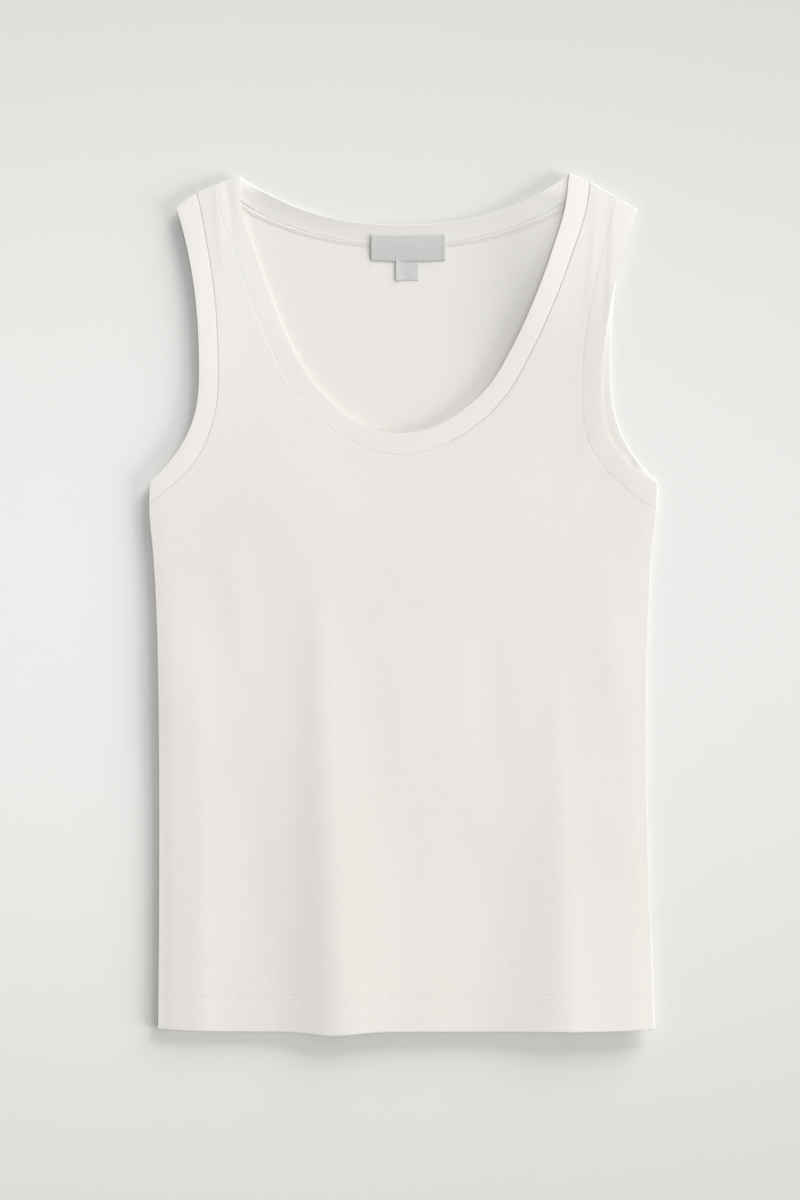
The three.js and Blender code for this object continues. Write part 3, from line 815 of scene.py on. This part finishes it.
def ringPoints(stretches, drops, lift):
    # Sections of the profile round a ring. Each stretch is one side and layer, with its line
    # function and its places along the edge. The drop goes from the left's to the right's.
    offset, frontInset, across, isFace, frontDrop = bindingProfile("front")
    _, backInset, _, _, backDrop = bindingProfile("back")
    blocks, runs = [], []
    for side, layer, line, u in stretches:
        x, y = line(side, layer, u[:, None], offset[None])
        blocks.append((side, layer, x, y))
        runs.append(np.stack([sides[side]["sign"] * x[:, 0], y[:, 0]], axis=-1))
    track = np.concatenate(runs)
    run = np.concatenate([[0], np.cumsum(np.hypot(*np.diff(track, axis=0).T))])
    (drift, driftOver), (swell, swellOver) = binding["puckerDrift"], binding["puckerSwell"]
    phase = 2 * np.pi * run / binding["puckerPitch"] + drift * np.sin(run / driftOver)
    pull = binding["puckers"] * np.sin(phase) * (1 - swell + swell * np.sin(run / swellOver + 1))
    first, points = 0, []
    for side, layer, x, y in blocks:
        rows = slice(first, first + len(x))
        first += len(x)
        toRight = ease(0.5 + sides[side]["sign"] * x[:, :1] / binding["dropReach"])
        inset = frontInset + mix(drops["left"], drops["right"], toRight) * frontDrop
        shows = isFace
        if layer == "back":
            depth = np.minimum(shoulderDepth(side, x, y), halfWidth(side, y) - x)[:, :1]
            turned = ease(depth / binding["backReach"])
            inset, shows = mix(inset, backInset + drops["back"] * backDrop, turned), 1 - isFace
        ripple = pull[rows, None] * (across ** 2 * shows)[None]
        block = place(side, layer, x, y, inset + ripple)
        if lift and layer == "back":  # the folded edge behind the neck stands up a little
            turned = ease((sides[side]["neck"][0] - x[:, :1]) / binding["napeStart"])
            block[..., 2] += turned * (lift * np.exp(-offset / binding["napeReach"]))[None]
        points.append(block)
    points = np.concatenate(points)
    uv = np.stack(np.broadcast_arrays(run[:, None], across[None] * cut["bindingWidth"]), axis=-1)
    return points, uv


def edgeShares(length, step, startRoll=0, endRoll=0):
    # Even steps along an edge, finer round the fold at an end that has one
    parts = [np.linspace(0, 1, int(length / step))]
    if startRoll:
        parts.append(rollDepths(startRoll, panel["foldColumns"]) / length)
    if endRoll:
        parts.append(1 - rollDepths(endRoll, panel["foldColumns"]) / length)
    shares = np.unique(np.round(np.concatenate(parts), 6))
    return shares[np.concatenate([[True], np.diff(shares) > binding["leastStep"]])]


def makeRing(name, stretches, drops, reverse, lift=0):
    # A tube through the sections all round, with its faces turned outwards
    points, uv = ringPoints(stretches, drops, lift)
    quads = tubeQuads(*points.shape[:2])
    return makePiece(name, points, quads[:, ::-1] if reverse else quads, uv, bindingJersey)


def makeNeckBinding():
    # In from the left along the nape, out to the right, and back along the scoop
    around = (
        ("left", "back", True), ("right", "back", False),
        ("right", "front", True), ("left", "front", False),
    )
    stretches = []
    for side, layer, down in around:
        length = scoopHalves[side][3] if layer == "front" else cut["napeLength"]
        u = edgeShares(length, binding["step"], sides[side]["shoulderRoll"][layer])
        stretches.append((side, layer, neckLine, u[:-1] if down else u[:0:-1]))
    return makeRing("neckBinding", stretches, binding["neckDrop"], False, binding["napeLift"])


def makeArmholeBinding(side):
    # Down the front's edge and up the back's
    rolls = sides[side]["shoulderRoll"], sides[side]["sideRoll"]
    stretches = []
    for layer, down in (("front", True), ("back", False)):
        u = edgeShares(cut["armholeLength"], binding["step"], *(roll[layer] for roll in rolls))
        stretches.append((side, layer, armholeLine, u[:-1] if down else u[:0:-1]))
    name = "armholeBinding" + side.capitalize()
    return makeRing(name, stretches, binding["armDrop"], side == "right")


neckBinding = makeNeckBinding()
armholeLeft = makeArmholeBinding("left")
armholeRight = makeArmholeBinding("right")
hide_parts("neck_binding")
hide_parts("armhole_binding_left")
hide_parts("armhole_binding_right")
print("bindings made")


# Sewing: twin-needle rows along both hems, and the overlocked allowance behind the neck

stitch = {
    "pitch": 3.2, "length": 2.7, "radius": 0.15, "sink": 0.13, "proud": 0.035, "sides": 6,
    "along": (-0.5, -0.42, -0.2, 0.2, 0.42, 0.5),  # its rings and tips, in shares of its length
    "swell": (0, 0.7, 1, 1, 0.7, 0),
    "wander": 0.12, "wanderOver": 23,              # of a row up and down, and over how far
    "endGap": 2.5, "reachAt": 25,                  # room at the side, this high over the hem
}


def stitchFaces(count):
    # Faces of one stitch, a tip, four rings and a tip, repeated for every stitch
    n = stitch["sides"]
    around = np.arange(n)
    after = (around + 1) % n
    rings = [1 + n * k for k in range(4)]
    quads = [
        np.stack([a + around, a + after, b + after, b + around], axis=-1)
        for a, b in zip(rings, rings[1:])
    ]
    head = np.stack([np.zeros(n, int), 1 + after, 1 + around], axis=-1)
    tail = np.stack([np.full(n, 4 * n + 1), rings[3] + around, rings[3] + after], axis=-1)
    shift = (np.arange(count) * (4 * n + 2))[:, None, None]
    quads = (np.concatenate(quads)[None] + shift).reshape(-1, 4)
    tips = (np.concatenate([head, tail])[None] + shift).reshape(-1, 3)
    return quads.tolist() + tips.tolist()


def makeHemStitches(name, layer):
    # Each stitch is a spindle on the face, sunk at both ends: radius and depth follow the
    # place along it, and the whole row lies in its needle line.
    n = stitch["sides"]
    along = np.array(stitch["along"])
    radius = np.array(stitch["swell"]) * stitch["radius"]
    angle = 2 * np.pi * np.arange(n) / n
    ringAt = np.repeat(np.arange(6), [1, n, n, n, n, 1])  # a tip, four rings and a tip
    turn = np.concatenate([[0], np.tile(angle, 4), [0]])
    s = along[ringAt] * stitch["length"]
    r = radius[ringAt]
    sink = stitch["sink"] * (2 * along[ringAt]) ** 4
    blocks = []
    for side in ("left", "right"):
        reach = halfWidth(side, cut["hemY"] + stitch["reachAt"]) - stitch["endGap"]
        centres = np.arange(stitch["pitch"] / 2, reach, stitch["pitch"])
        for row in panel["needleRows"]:
            drift = stitch["wander"] * np.sin(centres / stitch["wanderOver"] + row)
            x = centres[:, None] + sides[side]["sign"] * s[None]
            y = cut["hemY"] + row + drift[:, None] + (r * np.sin(turn))[None]
            y = y + hemWave(side, layer, x, row)
            outwards = r * np.cos(turn) - sink + stitch["proud"] - panel["needleDip"]
            blocks.append(place(side, layer, x, y, -np.broadcast_to(outwards[None], x.shape)))
    points = np.concatenate(blocks)
    faces = stitchFaces(len(points))
    if layer == "back":
        faces = [face[::-1] for face in faces]
    return makePiece(name, points, faces, points[..., :2], thread)


frontStitches = makeHemStitches("frontHemStitches", "front")
backStitches = makeHemStitches("backHemStitches", "back")

neckSeam = {
    "step": 0.5, "startShare": 0.03,
    "start": {"left": 2.6, "right": 4.4},  # how far under the seam it runs at the shoulders
    "slant": 1.2,                          # of the loops, from one edge to the other
    "rounding": 0.8, "roundingPower": 6,   # how the strip thins at its edges
}
overlock = {
    "offset": 0.1, "width": (2.6, 2.1),    # at the shoulders and at the middle
    "thickness": 0.12, "clear": 0.04, "loopPitch": 1.5, "loopDepth": 0.03, "edgeWander": 0.12,
}
# A real needle thread line, coloured darker: painted shadow along the seam
shadowedNeedleLine = {
    "offset": 0.25, "width": (0.6, 0.45),
    "thickness": 0.07, "clear": 0.17, "loopPitch": 2.4, "loopDepth": 0.03, "edgeWander": 0.04,
}


def makeNeckSeam(name, look, material):
    # A thin strip under the neck seam on the inside of the back. Loops of thread make its face
    # a row of low waves, a sine of the run along it, and its lower edge a fine zigzag.
    across = (1 - np.cos(np.linspace(0, np.pi, 9))) / 2
    u = edgeShares(cut["napeLength"], neckSeam["step"])
    u = u[u > neckSeam["startShare"]]
    blocks = []
    for side, order in (("left", u), ("right", u[-2::-1])):
        sign = sides[side]["sign"]
        run = order * cut["napeLength"] * sign
        width = mix(*look["width"], order)
        wander = look["edgeWander"] * np.sin(np.pi * run / look["loopPitch"])
        start = cut["bindingWidth"] + look["offset"] + neckSeam["start"][side] * (1 - order)
        offset = start[:, None] + across[None] * (width + wander)[:, None]
        x, y = neckLine(side, "back", order[:, None], offset)
        thinning = neckSeam["rounding"] * np.abs(2 * across - 1) ** neckSeam["roundingPower"]
        slanted = run[:, None] + neckSeam["slant"] * across[None] * sign
        wave = look["loopDepth"] * np.sin(2 * np.pi * slanted / look["loopPitch"])
        low = panel["jersey"] + look["clear"] + 0 * x
        high = low + (look["thickness"] + wave) * (1 - thinning)[None]
        blocks.append(np.stack([place(side, "back", x, y, high), place(side, "back", x, y, low)]))
    points = np.concatenate(blocks, axis=1)
    ids = np.arange(points[..., 0].size).reshape(points.shape[:3])
    return makePiece(name, points, wallQuads(ids)[:, ::-1], points[..., :2], material)


neckOverlock = makeNeckSeam("neckOverlock", overlock, overlockThread)
# the needle line's darker colour is painted shadow along the neck seam
neckNeedleShadow = makeNeckSeam("neckNeedleLineShadow", shadowedNeedleLine, shadowedNeedleThread)
print("stitches and overlock made")


# Label and size tab, of woven satin tape

label = {
    "x": 3.4, "y": 264.7, "width": 55.5, "height": 19.2, "thickness": 0.3,
    "z": 1.4, "rise": 0.62,   # at its lower edge, and how much higher it lies over the binding
    "sag": 0.9,               # how far its middle hangs below its ends
    "fold": 2.3, "foldRise": 0.07,  # ends turned under
    "curl": 0,
}
tab = {
    "x": 2.6, "y": 248.9, "width": 17.0, "height": 17.6, "thickness": 0.25,
    "z": 1.1, "rise": 0.0, "sag": 0.0, "fold": 0, "foldRise": 0,
    "curl": 0.6,              # lift of its left edge
}
tape = {
    "edge": 0.25, "ripple": 0.05, "rippleAcross": (4.2, 0.8), "rippleUp": (1.7, 0.4),
    "riseAt": 253.0, "riseOver": 14.0, "foldEase": (0.6, 0.8),
    "upperShare": 0.6, "lowerShare": 0.4, "clear": 0.02,  # of its thickness, and under it
    "besideEnd": (0.15, 0.4, 0.8, 1.3, 1.8, 2.3, 2.8, 3.4), "besideEdge": (0.15, 0.4, 0.8, 1.3),
    "columns": 40, "rows": 26,
}


def tapeTop(piece, across, up):
    # Heights and places over a tape. Across and up run from -1 to 1. The face is rounded off
    # at the edges, stands up a little where the ends are turned under, and ripples slightly.
    x = piece["x"] + across * piece["width"] / 2
    y = piece["y"] + up * piece["height"] / 2 - piece["sag"] * (1 - across ** 2)
    base = piece["z"] + piece["rise"] * ease((y - tape["riseAt"]) / tape["riseOver"])
    toEnd = (1 - np.abs(across)) * piece["width"] / 2
    early, over = tape["foldEase"]
    base = base + piece["foldRise"] * ease((piece["fold"] + early - toEnd) / over)
    base = base + piece["curl"] * np.clip(-across, 0, 1) ** 2
    toSide = (1 - np.abs(up)) * piece["height"] / 2
    crown = 1 - np.exp(-np.minimum(toEnd, toSide) / tape["edge"])
    (a, aStart), (b, bStart) = tape["rippleAcross"], tape["rippleUp"]
    ripple = tape["ripple"] * np.sin(across * a + aStart) * np.cos(up * b + bStart)
    return x, y, base, crown, ripple


def tapeSteps(beside, size, count):
    # Places from -1 to 1, close together at the given distances from both ends
    near = np.array(beside) / size * 2
    middle = np.linspace(near[-1] - 1, 1 - near[-1], count)[1:-1]
    return np.concatenate([[-1], -1 + near, middle, 1 - near[::-1], [1]])


def makeTape(name, piece, material):
    # A face over and one under the middle height, joined all round: the crown closes both down
    # to it at the edges
    across, up = np.meshgrid(
        tapeSteps(tape["besideEnd"], piece["width"], tape["columns"]),
        tapeSteps(tape["besideEdge"], piece["height"], tape["rows"]),
    )
    x, y, base, crown, ripple = tapeTop(piece, across, up)
    middle = base + piece["thickness"] * tape["lowerShare"]
    top = middle + piece["thickness"] * tape["upperShare"] * crown + ripple * crown
    bottom = middle - piece["thickness"] * tape["lowerShare"] * crown - tape["clear"]
    points = np.stack([np.stack([x, y, z], axis=-1) for z in (top, bottom)])
    ids = np.arange(points[..., 0].size).reshape(points.shape[:3])
    return makePiece(name, points, wallQuads(ids), points[..., :2], material)


neckLabel = makeTape("neckLabel", label, satin)
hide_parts("neck_label")
sizeTab = makeTape("sizeTab", tab, satin)
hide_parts("size_tab")
print("label and tab made")


# Floor, lights and camera

stage = {
    "floorColour": (0.796, 0.79, 0.776),
    # painted light on the floor: a pool of light round the middle, painted shade far away
    "paintedShadeFar": (0.54, 0.557, 0.503),       # what its shade tends to far away
    "paintedLightCentre": (-0.1, 0.02), "paintedLightReach": (1.22, 0.572),
    "floorHalf": 4.0, "floorZ": -0.0003,
    "grainScale": 40, "grainDetail": 4, "grain": 0.008, "roughness": 0.95, "specular": 0.1,
    "viewHeight": 888.0, "cameraHeight": 2.6, "sensor": 36,
    "centreX": -2.4, "centreY": 3.3,
    "room": 0.19, "roomColour": (0.985, 0.99, 1.0),
    # direction from the right round to the top, and height over the floor, both in degrees
    "keyLight": {"strength": 3.5, "turn": 58, "height": 16, "spread": 28},
    "sideLight": {"strength": 2.45, "turn": -14, "height": 15, "spread": 24},
    "skyLight": {"strength": 0.48, "turn": 42, "height": 48, "spread": 70},
    "topLight": {"strength": 0.855, "turn": 90, "height": 86, "spread": 30},
}


def floorMaterial():
    # Matt paper with a faint grain. Its colour goes from one colour to the other as one less the
    # bell curve of the distance from the middle: a painted pool of light, as on a lit table,
    # with painted shade far away.
    material, tree = newMaterial("palePaper")
    inSpace = addNode(tree, "TexCoord", "Object", {})
    spread = addNode(tree, "Mapping", "Vector", {
        "Vector": inSpace, "Location": (*stage["paintedLightCentre"], 0),
        "Scale": (*stage["paintedLightReach"], 1),
    }, vector_type="TEXTURE")
    distance = addNode(tree, "VectorMath", "Value", {0: spread}, operation="LENGTH")
    opposite = addMath(tree, "MULTIPLY", addMath(tree, "POWER", distance, 2), -1)
    bell = addMath(tree, "EXPONENT", opposite)
    # painted pool of light: own colour near the middle, painted shade far away
    paintedLightPool = addShade(tree, bell, stage["paintedShadeFar"], stage["floorColour"])
    noise = addNoise(tree, inSpace, stage["grainScale"], stage["grainDetail"])
    mixed = {"Factor": stage["grain"], "A": paintedLightPool, "B": noise}
    grain = addNode(tree, "Mix", "Result", mixed, data_type="RGBA", blend_type="MULTIPLY")
    return finishMaterial(material, {
        "Base Color": grain,
        "Roughness": stage["roughness"], "Specular IOR Level": stage["specular"],
    })


def makeFloor():
    # One flat square, just under the garment
    mesh = bpy.data.meshes.new("floor")
    half, z = stage["floorHalf"], stage["floorZ"]
    corners = [(-half, -half, z), (half, -half, z), (half, half, z), (-half, half, z)]
    mesh.from_pydata(corners, [], [(0, 1, 2, 3)])
    mesh.materials.append(floorMaterial())
    addObject("floor", mesh)


def makeLight(name, look):
    # A distant soft light: the direction comes from its turn and height
    light = bpy.data.lights.new(name, "SUN")
    light.energy = look["strength"]
    light.angle = np.radians(look["spread"])
    turn, height = np.radians(look["turn"]), np.radians(look["height"])
    addObject(name, light).rotation_euler = (0, np.pi / 2 - height, turn)


def makeCamera():
    # Straight above. The lens is the sensor times the camera's height over the view's height.
    camera = bpy.data.cameras.new("overhead")
    camera.sensor_width = stage["sensor"]
    camera.lens = stage["sensor"] * stage["cameraHeight"] / (stage["viewHeight"] * mm)
    seen = addObject("overhead", camera)
    seen.location = (stage["centreX"] * mm, stage["centreY"] * mm, stage["cameraHeight"])
    bpy.context.scene.camera = seen


def makeRoom():
    # Even light from all round, of one colour
    world = bpy.data.worlds.new("softRoom")
    bpy.context.scene.world = world
    world.use_nodes = True
    background = world.node_tree.nodes["Background"].inputs
    background["Color"].default_value = (*stage["roomColour"], 1)
    background["Strength"].default_value = stage["room"]


makeFloor()
for name in ("keyLight", "sideLight", "skyLight", "topLight"):
    makeLight(name, stage[name])
makeCamera()
makeRoom()
bpy.context.scene.view_settings.view_transform = "Standard"
print("floor, lights and camera made")
